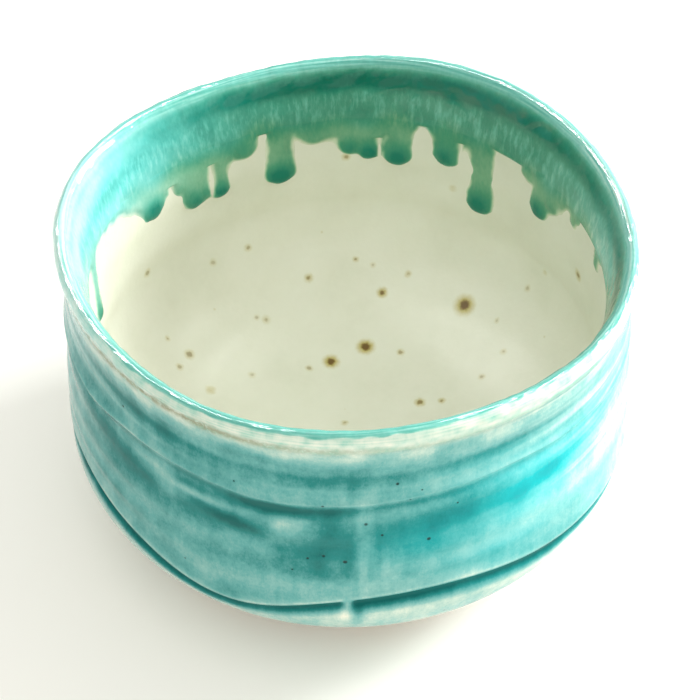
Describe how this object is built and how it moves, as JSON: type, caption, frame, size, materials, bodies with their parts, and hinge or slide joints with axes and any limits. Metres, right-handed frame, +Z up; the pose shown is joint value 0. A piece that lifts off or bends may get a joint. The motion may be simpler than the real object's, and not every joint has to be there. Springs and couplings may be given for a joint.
{
  "type": "matcha bowl",
  "caption": "Round, slightly hand-squared tea bowl with steep walls, a turquoise running glaze over a cream inside, and a bare clay foot ring.",
  "frame": {"origin": "centre of the resting face of the foot ring, on the table plane", "axes": "+Z up through the mouth of the bowl; -Y is the front, +X is to the right when the front is faced"},
  "size_m": [0.1218, 0.1228, 0.0774],
  "materials": {
    "bare_clay": "bare, fired to a warm buff",
    "foot_clay": "bare, turned and wiped",
    "cream_glaze": "satin gloss with brown iron specks",
    "turquoise_glaze": "gloss, pooling dark under ridges and breaking pale over edges",
    "rim_glaze": "gloss, mottled, breaking pale over the lip",
    "run_glaze": "glassy, olive green above and emerald at the beads"
  },
  "bodies": {
    "root": {"clay_wall": "bare_clay", "clay_belly": "bare_clay", "clay_floor": "bare_clay", "foot_ring": "foot_clay", "liner_glaze": "cream_glaze", "outer_glaze": "turquoise_glaze", "rim_glaze": "rim_glaze", "glaze_runs": "run_glaze"}
  },
  "joints": []
}
